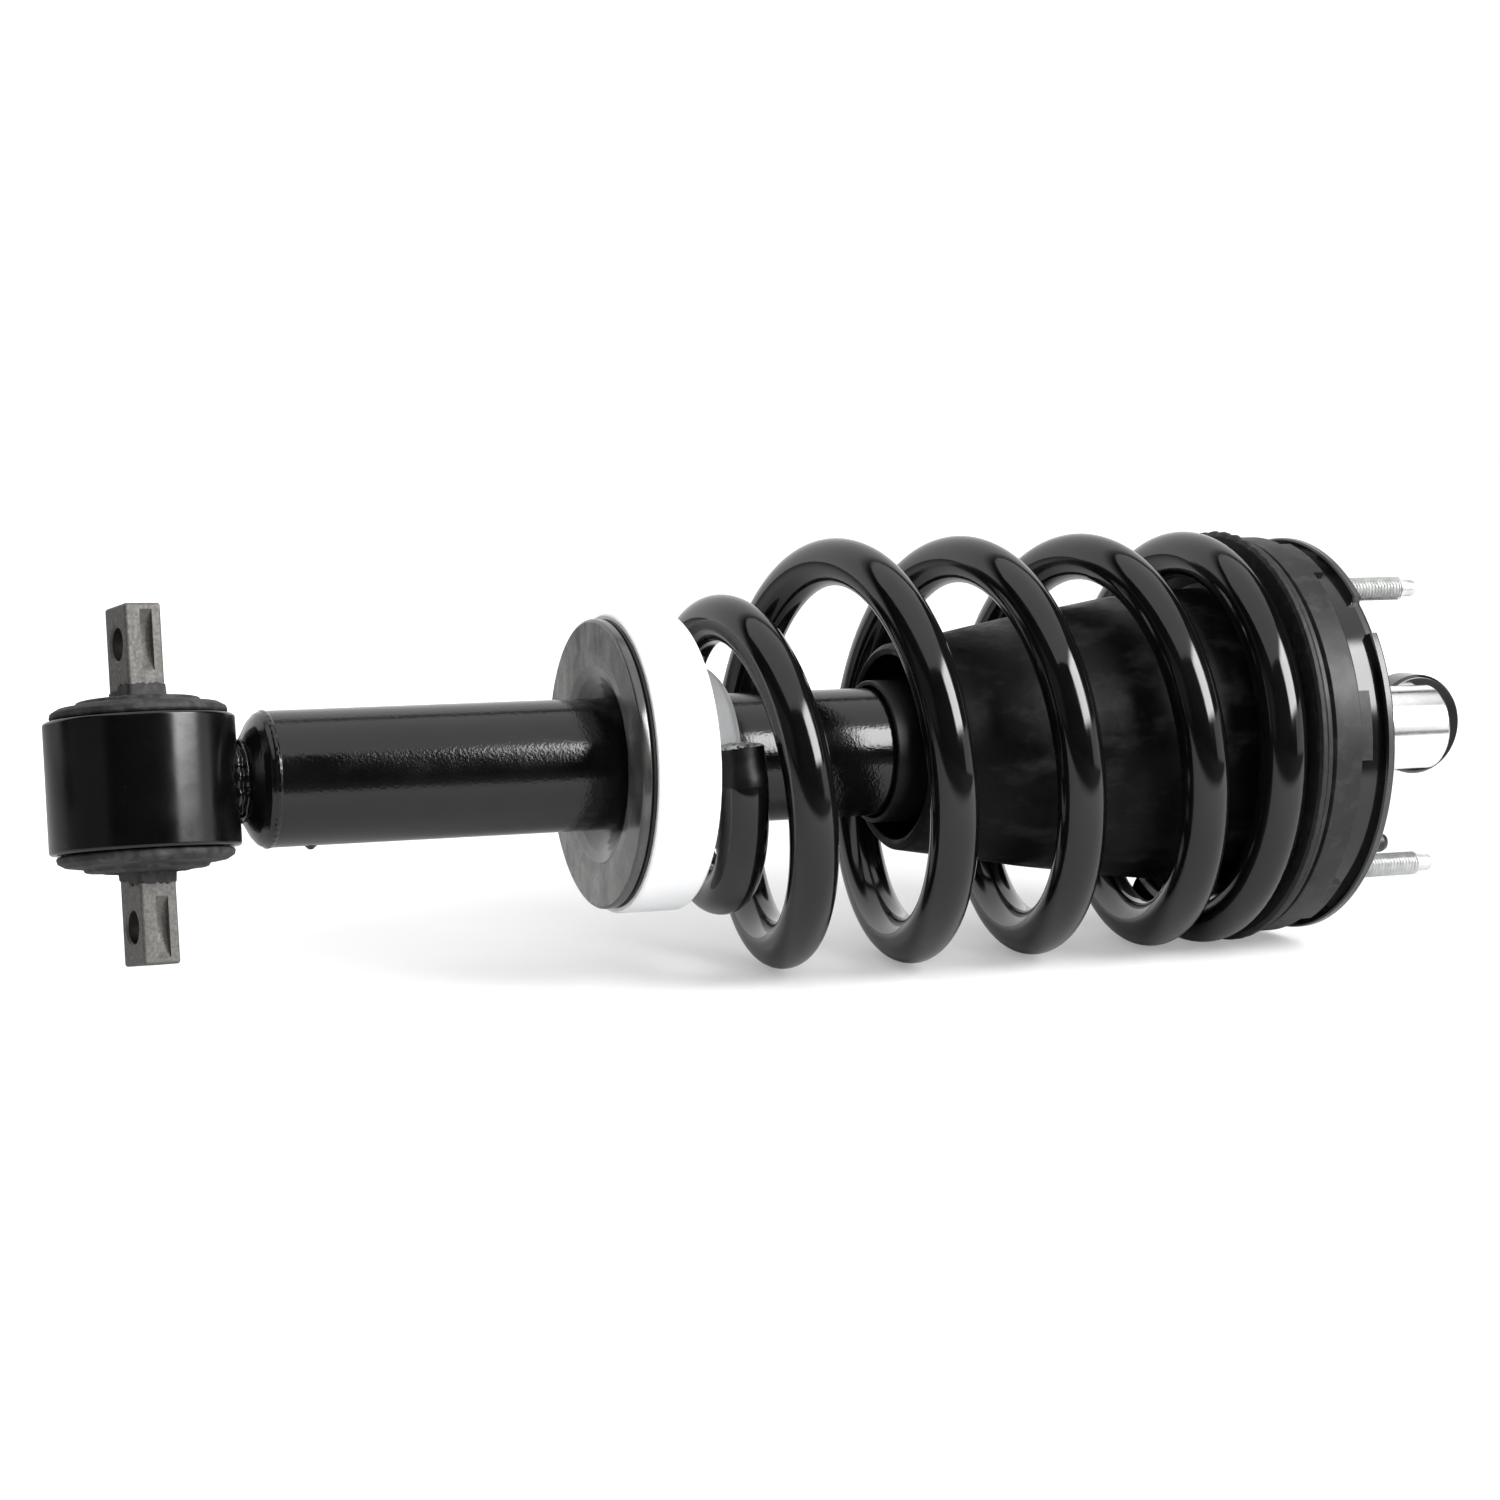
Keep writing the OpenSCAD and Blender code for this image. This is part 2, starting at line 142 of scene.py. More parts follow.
def finish(name, colour, rough, metal=0.0, spec=0.5, tint=(40, 0.25), rough_var=(60, 0.05),
           bumps=(), dust_and_sheen=None, coat=None, sheen_facing=None):
    """A procedural finish. colour varies by tint = (features per metre, share), roughness by
    rough_var, bumps = (features per metre, height in mm, detail, stretch), and
    dust_and_sheen = (features per metre, colour, from, to, roughness, stretch), which is dust, and
    on the seat a pale grey that is partly dust and partly painted sheen. coat is its weight and
    roughness, and sheen_facing is how much of it lies on a flat that looks along -X, thinned
    towards -Y as painted shade."""
    t = Tree(name)
    b = t.bsdf.inputs
    b["Metallic"].default_value = metal
    b["Specular IOR Level"].default_value = spec
    if coat:
        b["Coat Weight"].default_value, b["Coat Roughness"].default_value = coat
    base = t.mix(t.span(t.noise(tint[0], 3), 0.35, 0.65, 0, 1),
                 rgb(colour, 1 - tint[1]), rgb(colour, 1 + tint[1]))
    r = t.span(t.noise(rough_var[0], 3), 0.3, 0.7, max(0.02, rough - rough_var[1]),
               min(1, rough + rough_var[1]))
    if dust_and_sheen:
        scale, dcol, lo, hi, drough, *stretch = dust_and_sheen
        d = t.span(t.noise(scale, 6, 0.62, stretch[0] if stretch else None), lo, hi, 0, 1)
        if sheen_facing is not None:
            # Dust and a painted sheen lie on the flat that looks along -X; less of it towards -Y,
            # which is painted shade
            s = t.add("ShaderNodeSeparateXYZ")
            t.link(t.coords.outputs["Normal"], s.inputs[0])
            where = t.add("ShaderNodeSeparateXYZ")
            t.link(t.coords.outputs["Object"], where.inputs[0])
            f = t.math("MULTIPLY", t.span(s.outputs[0], -0.995, -0.90, sheen_facing, 0),
                       t.span(where.outputs[1], -0.055, 0.015, 0.2, 1.0))
            d = t.math("MAXIMUM", t.math("MULTIPLY", d, 0.12), t.math("MULTIPLY", d, f))
        base = t.mix(d, base, rgb(dcol))
        m = t.add("ShaderNodeMix", data_type="FLOAT")
        t.link(d, m.inputs[0])
        t.link(r, m.inputs[2])
        m.inputs[3].default_value = drough
        r = m.outputs[0]
    t.link(base, b["Base Color"])
    t.link(r, b["Roughness"])
    last = None
    for scale, height, detail, *stretch in bumps:
        n = t.add("ShaderNodeBump")
        n.inputs["Strength"].default_value = 1
        n.inputs["Distance"].default_value = height / 1000
        t.link(t.noise(scale, detail, 0.55, stretch[0] if stretch else None), n.inputs["Height"])
        if last:
            t.link(last, n.inputs["Normal"])
        last = n.outputs["Normal"]
    if last:
        t.link(last, b["Normal"])
    return t.mat


M = {
    "tube_paint": finish("tube_paint", 0.003, 0.13, bumps=[(850, 0.075, 2), (60, 0.03, 1)],
                         dust_and_sheen=(500, 0.02, 0.66, 0.85, 0.5)),
    "eye_paint": finish("eye_paint", 0.002, 0.19, bumps=[(420, 0.012, 2), (70, 0.05, 1)],
                        dust_and_sheen=(350, 0.02, 0.66, 0.85, 0.5)),
    "weld_paint": finish("weld_paint", 0.003, 0.14, bumps=[(260, 0.12, 3), (900, 0.02, 2)]),
    "coil_paint": finish("coil_paint", 0.003, 0.10, bumps=[(700, 0.006, 2), (45, 0.03, 1)],
                         dust_and_sheen=(700, 0.04, 0.7, 0.85, 0.5)),
    "chipped": finish("chipped", 0.42, 0.38, metal=0.7, bumps=[(900, 0.25, 3), (260, 0.5, 2)],
                      dust_and_sheen=(520, 0.008, 0.50, 0.58, 0.3)),
    "sheared": finish("sheared", 0.002, 0.42, spec=0.25, bumps=[(500, 0.10, 3)]),
    # seat_paint: its pale grey dust is partly real dust and partly a painted sheen, thinned towards
    # -Y as painted shade
    "seat_paint": finish("seat_paint", 0.003, 0.16, spec=0.95,
                         bumps=[(500, 0.012, 2), (70, 0.04, 1)],
                         dust_and_sheen=(75, (0.50, 0.49, 0.48), 0.24, 0.90, 0.42, (1, 1, 0.6)),
                         sheen_facing=1.0),
    "pad_rubber": finish("pad_rubber", 0.007, 0.6, bumps=[(1200, 0.02, 3)], rough_var=(90, 0.1)),
    "nylon": finish("nylon", (0.90, 0.905, 0.915), 0.34, bumps=[(300, 0.006, 2)],
                    tint=(25, 0.01), rough_var=(120, 0.06)),
    # A grey copy of the white nylon for the collar: painted shade, since the collar is the same
    # nylon as the ring
    "collar_nylon_painted_shade": finish("collar_nylon_painted_shade", (0.50, 0.505, 0.51), 0.42, bumps=[(300, 0.006, 2)],
                           tint=(25, 0.03), rough_var=(120, 0.06)),
    "boot_rubber": finish("boot_rubber", 0.002, 0.46, spec=0.13,
                          bumps=[(700, 0.02, 3), (75, 0.45, 3)],
                          dust_and_sheen=(95, 0.022, 0.52, 0.82, 0.7, (0.5, 1, 1)), rough_var=(80, 0.12)),
    "shield": finish("shield", 0.003, 0.45, spec=0.3, bumps=[(500, 0.012, 2)]),
    "bush_rubber": finish("bush_rubber", 0.012, 0.68, bumps=[(1100, 0.03, 4), (160, 0.12, 2)],
                          dust_and_sheen=(230, 0.07, 0.45, 0.78, 0.85), rough_var=(90, 0.1)),
    "forged": finish("forged", (0.112, 0.107, 0.100), 0.52, metal=0.45, tint=(800, 0.22),
                     bumps=[(1500, 0.05, 4), (500, 0.03, 2)], rough_var=(500, 0.10),
                     dust_and_sheen=(700, (0.06, 0.055, 0.05), 0.55, 0.8, 0.7)),
    # bore: a dark copy of the forging for the walls of the bolt holes, painted shade
    "bore": finish("bore", (0.022, 0.020, 0.018), 0.6, metal=0.3, bumps=[(1200, 0.03, 3)]),
    "insulator": finish("insulator", 0.006, 0.6, bumps=[(900, 0.04, 4), (200, 0.15, 3)],
                        dust_and_sheen=(260, 0.035, 0.55, 0.8, 0.8)),
    "satin": finish("satin", 0.009, 0.50, spec=0.36, bumps=[(1500, 0.022, 2), (160, 0.03, 2)],
                    dust_and_sheen=(110, 0.035, 0.5, 0.8, 0.5), rough_var=(70, 0.07)),
    "plate_paint": finish("plate_paint", 0.003, 0.13, bumps=[(420, 0.007, 2), (50, 0.04, 1)],
                          dust_and_sheen=(600, 0.05, 0.68, 0.85, 0.5)),
    # A lighter paint for the plate's rim: a painted highlight along its edge
    "rim_highlight_paint": finish("rim_highlight_paint", 0.04, 0.25, bumps=[(500, 0.02, 2)]),
    "zinc": finish("zinc", (0.60, 0.61, 0.60), 0.36, metal=0.75, tint=(300, 0.10),
                   bumps=[(1200, 0.006, 3)], rough_var=(300, 0.08)),
    "pin_plastic": finish("pin_plastic", 0.006, 0.4, bumps=[(700, 0.02, 2)]),
    "mirror": finish("mirror", (0.94, 0.94, 0.95), 0.17, metal=1.0, tint=(60, 0.02),
                     bumps=[(40, 0.010, 1)], rough_var=(500, 0.025)),
    "housing": finish("housing", 0.005, 0.16, bumps=[(400, 0.008, 2)], coat=(0.4, 0.05)),
    "steel": finish("steel", (0.52, 0.52, 0.51), 0.33, metal=1.0, tint=(120, 0.12),
                    bumps=[(1400, 0.01, 3, (0.06, 1, 1))], rough_var=(200, 0.08)),
    "sintered": finish("sintered", (0.42, 0.40, 0.36), 0.5, metal=0.9, bumps=[(1600, 0.03, 3)]),
    "rod_chrome": finish("rod_chrome", (0.78, 0.79, 0.80), 0.10, metal=1.0, tint=(80, 0.03),
                         bumps=[(1500, 0.003, 2, (1, 0.1, 0.1))]),
    "foam": finish("foam", (0.62, 0.50, 0.24), 0.75, bumps=[(1300, 0.08, 4)], tint=(200, 0.15)),
    "seal": finish("seal", (0.012, 0.012, 0.014), 0.5, bumps=[(800, 0.02, 2)]),
    "band": finish("band", (0.10, 0.08, 0.06), 0.5, bumps=[(900, 0.02, 2)]),
}


# ---------------------------------------------------------------- mesh code
def linked(name, data):
    ob = bpy.data.objects.new(name, data)
    bpy.context.scene.collection.objects.link(ob)
    return ob


def bands(rows, sides):
    """Quads that join rows + 1 closed rings of points."""
    return [[i * sides + k, i * sides + (k + 1) % sides,
             (i + 1) * sides + (k + 1) % sides, (i + 1) * sides + k]
            for i in range(rows) for k in range(sides)]


class Geo:
    """Collects faces in millimetres, and makes one smooth-shaded object of them."""

    def __init__(self):
        self.v, self.f, self.m, self.n = [], [], [], 0

    def add(self, verts, faces, mat=0):
        self.v.append(np.asarray(verts, float))
        self.f += [tuple(i + self.n for i in f) for f in faces]
        self.m += [mat] * len(faces) if isinstance(mat, int) else list(mat)
        self.n += len(verts)

    def make(self, name, mats, sharp=32):
        v = np.concatenate(self.v)
        v = (v - [FACE, 0, 0]) / 1000
        me = bpy.data.meshes.new(name)
        me.from_pydata(v.tolist(), [], self.f)
        for k in mats:
            me.materials.append(M[k])
        me.polygons.foreach_set("material_index", self.m)
        return settle(me, name, sharp)


def settle(me, name, sharp=32):
    """Welds a mesh, turns its faces outwards and shades it smooth up to an angle."""
    bm = bmesh.new()
    bm.from_mesh(me)
    bmesh.ops.remove_doubles(bm, verts=bm.verts, dist=1e-7)
    bmesh.ops.recalc_face_normals(bm, faces=bm.faces)
    for f in bm.faces:
        f.smooth = True
    for e in bm.edges:
        if len(e.link_faces) == 2:
            e.smooth = e.calc_face_angle() < math.radians(sharp)
    bm.to_mesh(me)
    bm.free()
    ob = linked(name, me)
    w = ob.modifiers.new("normals", "WEIGHTED_NORMAL")
    w.keep_sharp = True
    return ob


def fillet(points, radii, steps=4):
    """Rounds the corners of an [x, r] profile; radii is one number or one per corner."""
    n = len(points)
    radii = [radii] * n if isinstance(radii, (int, float)) else radii
    out = []
    for i, p in enumerate(points):
        p = np.array(p, float)
        a, b = np.array(points[i - 1], float) - p, np.array(points[(i + 1) % n], float) - p
        la, lb = np.linalg.norm(a), np.linalg.norm(b)
        rad = radii[i]
        if rad <= 0 or la < 1e-6 or lb < 1e-6:
            out.append(p)
            continue
        a, b = a / la, b / lb
        half = math.acos(max(-1, min(1, a @ b))) / 2
        if half > 1.54:
            out.append(p)
            continue
        cut = min(rad / math.tan(half), 0.48 * la, 0.48 * lb)
        rad = cut * math.tan(half)
        mid = (a + b) / np.linalg.norm(a + b)
        c = p + mid * rad / math.sin(half)
        s, e = p + a * cut - c, p + b * cut - c
        turn = math.atan2(s[0] * e[1] - s[1] * e[0], s @ e)
        for k in range(steps + 1):
            q = turn * k / steps
            out.append(c + [s[0] * math.cos(q) - s[1] * math.sin(q),
                            s[0] * math.sin(q) + s[1] * math.cos(q)])
    return np.array(out)


def lathe(geo, prof, segs=192, closed=True, disp=None, mats=0, place=None):
    """Turns an [x, r] profile about X. disp(x, r, a) gives (dx, dr). mats is one index, or a
    function of a face's mean (x, r). place moves the points."""
    prof = np.asarray(prof, float)
    n = len(prof)
    a = np.linspace(0, 2 * math.pi, segs, endpoint=False)
    X, A = np.meshgrid(prof[:, 0], a, indexing="ij")
    R, _ = np.meshgrid(prof[:, 1], a, indexing="ij")
    if disp:
        dx, dr = disp(X, R, A)
        X, R = X + dx, R + dr
    v = np.stack([X, -R * np.sin(A), R * np.cos(A)], -1).reshape(-1, 3)
    faces, mi = [], []
    for i in range(n if closed else n - 1):
        j = (i + 1) % n
        mean = (prof[i] + prof[j]) / 2
        m = mats if isinstance(mats, int) else mats(*mean)
        flat_i, flat_j = prof[i, 1] < 1e-6, prof[j, 1] < 1e-6
        if flat_i and flat_j:
            continue
        for k in range(segs):
            k2 = (k + 1) % segs
            quad = [i * segs + k, i * segs + k2, j * segs + k2, j * segs + k]
            if flat_i:
                quad = [i * segs, j * segs + k2, j * segs + k]
            elif flat_j:
                quad = [i * segs + k, i * segs + k2, j * segs]
            faces.append(quad)
            mi.append(m)
    geo.add(place(v) if place else v, faces, mi)


def eye_axis(v):
    """Points about X to the eye's own axis: X goes to the bar pin's axis."""
    x, y, z = v[:, 0], v[:, 1], v[:, 2]
    # pin axis w, side s along X, and f across both
    w = np.array([0, math.sin(CLOCK), math.cos(CLOCK)])
    s = np.array([1, 0, 0])
    f = np.cross(w, s)
    return np.outer(x, w) + np.outer(z, s) + np.outer(y, f)


def at(dx, dy, dz):
    return lambda v: v + [dx, dy, dz]


def waves(n, kmin, kmax, seed, lx=0.0):
    """A repeatable ripple of n sines, kmin to kmax round the turn, each running up to lx
    radians per millimetre along x."""
    r = np.random.RandomState(seed)
    k, ph, am = r.randint(kmin, kmax, n), r.uniform(0, 6.28, n), r.uniform(0.4, 1, n)
    run = r.uniform(-lx, lx, n)
    return lambda x, a: sum(am[i] * np.sin(k[i] * a + run[i] * x + ph[i]) for i in range(n)) / n


def ride(ob, body, nodes):
    """Puts a piece on its body, in place of CAD nodes."""
    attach(ob, body)
    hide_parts(*nodes)
    return ob


# ---------------------------------------------------------------- lower eye
g = Geo()
shell = [(-EYE_HALF, 31), (-EYE_HALF, EYE_R), (EYE_HALF, EYE_R), (EYE_HALF, 31)]
lathe(g, fillet(shell, [0.4, 1.3, 1.3, 0.4]), segs=256, place=eye_axis)
ride(g.make("eye_sleeve_shell", ["eye_paint"]), "damper_body", ["eye_sleeve"])

# The rubber's lip: its rim, a step, and the ragged edge round the pin
lip = [(25.1, 28.0), (25.15, 32.3), (26.1, 33.0), (27.9, 32.6), (29.5, 29.8), (30.1, 26.0),
       (30.3, 23.5), (31.6, 22.8), (31.95, 21.5), (31.9, 18.6), (32.2, 17.2), (32.6, 15.2),
       (32.7, 14.1)]
prof = fillet([(-x, r) for x, r in lip[::-1]] + lip, [0] + [1.0] * (2 * len(lip) - 2) + [0], 3)
rip, rag = waves(6, 2, 9, 3, 0.2), waves(10, 5, 40, 5, 0.8)


def lip_shape(x, r, a):
    edge = np.clip((20 - r) / 5, 0, 1) * (np.abs(x) > 31)
    rim = np.clip((r - 29) / 3, 0, 1)
    return (np.sign(x) * (0.2 * rip(x, a) * rim + 0.5 * rag(x, a) * edge),
            0.25 * rip(x, a) * rim)


g = Geo()
lathe(g, prof, segs=256, closed=True, disp=lip_shape, place=eye_axis)
ride(g.make("bush_rubber_lips", ["bush_rubber"]), "damper_body", ["bush_rubber"])


# ---------------------------------------------------------------- bar pin
def pin_frame(v):
    """x along the bolt holes, y across, z along the pin."""
    c, s = math.cos(TWIST), math.sin(TWIST)
    x, y, z = v[:, 0] * c - v[:, 1] * s, v[:, 0] * s + v[:, 1] * c, v[:, 2]
    cc, ss = math.cos(CLOCK), math.sin(CLOCK)
    return np.stack([x, y * cc + z * ss, -y * ss + z * cc], -1)


def solid(name, verts, faces):
    me = bpy.data.meshes.new(name)
    me.from_pydata([tuple(p) for p in verts], [], faces)
    return linked(name, me)


def drum(name, prof, axis, centre, segs=64):
    """A solid of revolution of [height, radius] about one axis, in millimetres."""
    gg = Geo()
    lathe(gg, [(prof[0][0], 0)] + list(prof) + [(prof[-1][0], 0)], segs=segs, closed=False)
    v = np.concatenate(gg.v)
    if axis == "z":
        v = v[:, [1, 2, 0]]
    return solid(name, v + np.array(centre, float), gg.f)


def boolean(ob, other, how):
    m = ob.modifiers.new("b", "BOOLEAN")
    m.operation, m.object, m.solver = how, other, "EXACT"


def applied(ob):
    """The mesh of an object with its modifiers applied."""
    dg = bpy.context.evaluated_depsgraph_get()
    return bpy.data.meshes.new_from_object(ob.evaluated_get(dg))


def clear(*obs):
    for o in obs:
        bpy.data.objects.remove(o)


hw, ht, hl = 7.1, 10.5, 67.25   # half the pin along its bolt holes, across them, and in length
box_v = [(sx * hw, sy * ht, sz * hl) for sx in (-1, 1) for sy in (-1, 1) for sz in (-1, 1)]
box_f = [(0, 1, 3, 2), (4, 6, 7, 5), (0, 4, 5, 1), (2, 3, 7, 6), (0, 2, 6, 4), (1, 5, 7, 3)]
bar = solid("bar", box_v, box_f)
bev = bar.modifiers.new("v", "BEVEL")
bev.width, bev.segments, bev.limit_method = 1.1, 4, "NONE"
barrel = [(-31.4, 13.2), (-30.6, 14), (30.6, 14), (31.4, 13.2)]
bore = [(-9, 8.1), (-7.1, 7.0), (-6.3, HOLE_R), (6.3, HOLE_R), (7.1, 7.0), (9, 8.1)]
cutters = [drum("barrel", barrel, "z", (0, 0, 0), 96)]
boolean(bar, cutters[0], "UNION")
for s in (-1, 1):
    hole = drum("hole", bore, "x", (0, 0, s * HOLE_Z))
    # A clip slot, left by a round cutter in the front flat
    slot = drum("slot", [(-2.4, 20.7), (2.4, 20.7)], "x", (1, -27.7, s * 53.4), 96)
    for c in (hole, slot):
        boolean(bar, c, "DIFFERENCE")
        cutters.append(c)
me = applied(bar)
clear(bar, *cutters)
# The walls of the bolt holes take a dark copy of the forging, as painted shade
inside = {p.index for p in me.polygons
          if abs(p.center.x) < 6.4 and math.hypot(p.center.y, abs(p.center.z) - HOLE_Z) < 6.3}
co = np.array([v.co for v in me.vertices])
co = (pin_frame(co) - [FACE, 0, 0]) / 1000
me.vertices.foreach_set("co", co.astype(np.float32).ravel())
me.materials.clear()
me.materials.append(M["forged"])
me.materials.append(M["bore"])
for p in me.polygons:
    p.material_index = int(p.index in inside)
pin = settle(me, "bar_pin_forging", 30)
edge = pin.modifiers.new("edge", "BEVEL")
edge.width, edge.segments = 0.0004, 2
edge.limit_method, edge.angle_limit = "ANGLE", math.radians(40)
pin.modifiers.move(1, 0)
ride(pin, "bar_pin", ["bar_pin"])

# Torn skirts of moulding flash where the rubber meets the flats
torn_skirt = waves(12, 3, 40, 8)
SKIRT_SEGS, SKIRT_FOOT = 144, 30.5
g = Geo()
for s in (-1, 1):
    a = np.linspace(0, 2 * math.pi, SKIRT_SEGS, endpoint=False)
    c, d = np.cos(a), np.sin(a)
    reach = 1 / (np.abs(c / (hw + 0.1)) ** 14 + np.abs(d / (ht + 0.1)) ** 14) ** (1 / 14)
    rise = 36.3 + 1.8 * np.sign(d) * -0.5 + 1.7 * torn_skirt(0, a) - SKIRT_FOOT
    rows = [np.stack([(reach + wide) * c, (reach + wide) * d, s * (SKIRT_FOOT + rise * up)], -1)
            for wide, up in ((1.3, 0), (0.9, 0.35), (0.55, 0.97), (-0.4, 1))]
    g.add(pin_frame(np.concatenate(rows)), bands(len(rows) - 1, SKIRT_SEGS))
skirt = g.make("pin_rubber_flash", ["bush_rubber"], 50)
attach(skirt, "bar_pin")

# ---------------------------------------------------------------- neck, cap, tube
bead, ripple = waves(9, 4, 16, 11, 0.6), waves(7, 24, 60, 12, 1.2)


def weld(x, r, a):
    on = np.exp(-((x - 33.2) / 2.4) ** 2) + np.exp(-((x - 36.2) / 1.8) ** 2)
    return 1.2 * bead(x, a) * on, (1.5 * bead(x + 3, a + 1) + 0.3 * ripple(x, a)) * on


neck = [(30.5, 0), (30.5, 14.6), (31.4, 14.9), (32.2, 15.7), (33.2, 16.2), (34.2, 15.8),
        (34.9, 14.7), (35.4, 14.8), (36.0, 15.7), (36.7, 15.9), (37.3, 15.6), (37.9, 15.2),
        (38.2, 15.1), (38.2, 0)]
g = Geo()
lathe(g, fillet(neck, [0, 0] + [0.6] * 10 + [0, 0], 2), segs=256, closed=False, disp=weld)
ride(g.make("neck_weld", ["weld_paint"], 60), "damper_body", ["eye_neck"])

g = Geo()
cap = [(37.7, 0), (37.7, 15.6), (38.3, 17.4), (41.3, 22.7), (43.5, 25.2), (45.0, 25.8),
       (45.6, 26.3), (46.5, 26.35), (47.2, TUBE_R), (48, TUBE_R)]
seam = waves(9, 5, 60, 14, 0.5)
lathe(g, fillet(cap, [0, 0.8, 1.2, 4, 2, 0.3, 0.3, 0.3, 0.3, 0], 4), segs=320, closed=False,
      disp=lambda x, r, a: (0 * x, 0.35 * seam(x, a) * (np.abs(x - 46.1) < 1)))
tube = [(48, TUBE_R), (332, TUBE_R), (334.2, 25.2), (335, 23.4), (335, 12.5), (330, 12.5)]
lathe(g, fillet(tube, [0, 1, 1.5, 1, 0, 0], 4), segs=256, closed=False)
# Drain nipple under the lower end
lathe(g, [(0, 3.0), (0.7, 2.5), (1.6, 1.5), (2.1, 1.0), (2.3, 0)], segs=32, closed=False,
      place=lambda v: np.stack([v[:, 1] + 63.6, v[:, 2], -25.5 - v[:, 0]], -1))
ride(g.make("damper_body_paint", ["tube_paint"]), "damper_body",
     ["base_cap", "damper_tube", "tube_closure"])

# ---------------------------------------------------------------- lower seat, pad, ring
t0 = TUBE_R
# Inner end of the funnel mouth, its flare, the flat face, and back along the inside
seat = [(188, t0), (186.4, t0 + 1.4), (184.6, t0 + 3), (182.2, t0 + 5.6), (180, t0 + 9),
        (178.5, t0 + 13), (178, t0 + 17.6), (178, 57.2), (181.8, 57.2), (181.8, t0 + 18.6),
        (182.8, t0 + 15), (184, t0 + 11.4), (186, t0 + 8), (188.6, t0 + 5), (190.6, t0 + 3.4),
        (194, t0 + 3.4), (194, t0)]
g = Geo()
lathe(g, fillet(seat, [0, 3, 3, 4, 4, 6, 6, 1.3, 0.7, 0, 1, 1, 1, 1, 1, 0.8, 0], 4), segs=320)
ride(g.make("spring_seat_pressing", ["seat_paint"]), "damper_body", ["spring_seat"])
g = Geo()
pad = [(181.8, 45), (181.8, 55.8), (182.4, 55.8), (182.4, 57.1), (183.8, 57.1), (183.8, 45)]
lathe(g, fillet(pad, [0, 0, 0.2, 0.5, 0.3, 0]), segs=256)
ride(g.make("seat_pad_ring", ["pad_rubber"]), "damper_body", ["seat_pad"])
g = Geo()
x0, RING_END = 183.9, 209.8
ring = [(x0, t0 + 20), (x0, 58.4), (x0 + 0.8, 59.2), (208.2, 59.2), (RING_END, 57.6),
        (RING_END, 37), (224.2, 37), (227.8, 33.4), (227.8, 31), (x0 + 9.1, 31), (x0 + 9.1, 29.5),
        (x0 + 7.4, 29.5), (x0 + 3.4, t0 + 12.6), (x0 + 1.4, t0 + 17)]
# Faces past the ring's face, on the collar, take the grey copy of the nylon: painted shade
lathe(g, fillet(ring, [0, 0.5, 0.5, 2.2, 2.2, 1.5, 3, 2.5, 0.6, 0, 0, 0, 0, 0], 5), segs=320,
      mats=lambda x, r: int(x > RING_END + 0.2))
ride(g.make("slip_ring_nylon", ["nylon", "collar_nylon_painted_shade"]), "slip_ring",
     ["slip_ring"])

# ---------------------------------------------------------------- coil spring
WIRE, TURNS, START, LOW, HIGH = 9.6, 5.32, -0.03, 219.75, 446.7
PITCH, NARROW, WIDE = 55.4, 56, 77.6


def coil_rad(t):
    """The centre line's radius after t turns: tight on the ring, then opening out."""
    if t < 0.75:
        return NARROW - 4.5 * (1 - t / 0.75)
    if t < 1.3:
        return NARROW + (WIDE - NARROW) * (1 - math.cos(math.pi * (t - 0.75) / 0.55)) / 2
    return WIDE


def coil_x(t):
    """The centre line's place along X after t turns: a short rise, the pitch, a closed end."""
    u = max(0.0, min(1.0, (t + 0.05) / 0.36))
    climb = 0 if t < 0.6 else PITCH * (t - 0.6) ** 2 / 0.8 if t < 1 else PITCH * (t - 0.8)
    return min(HIGH - 7 * max(0, TURNS - t), LOW + 11 * u * u * (3 - 2 * u) + climb)


def smooth_coil():
    """The wire's centre line at even turns, with its corners eased."""
    n = int(96 * (TURNS - START))
    t = np.linspace(START, TURNS, n + 1)
    x = np.array([coil_x(k) for k in t])
    r = np.array([coil_rad(k) for k in t])
    for _ in range(60):
        x[1:-1] = (x[:-2] + 2 * x[1:-1] + x[2:]) / 4
        r[1:-1] = (r[:-2] + 2 * r[1:-1] + r[2:]) / 4
    a = 2 * math.pi * t
    return t, np.stack([x, -r * np.cos(a), -r * np.sin(a)], -1)


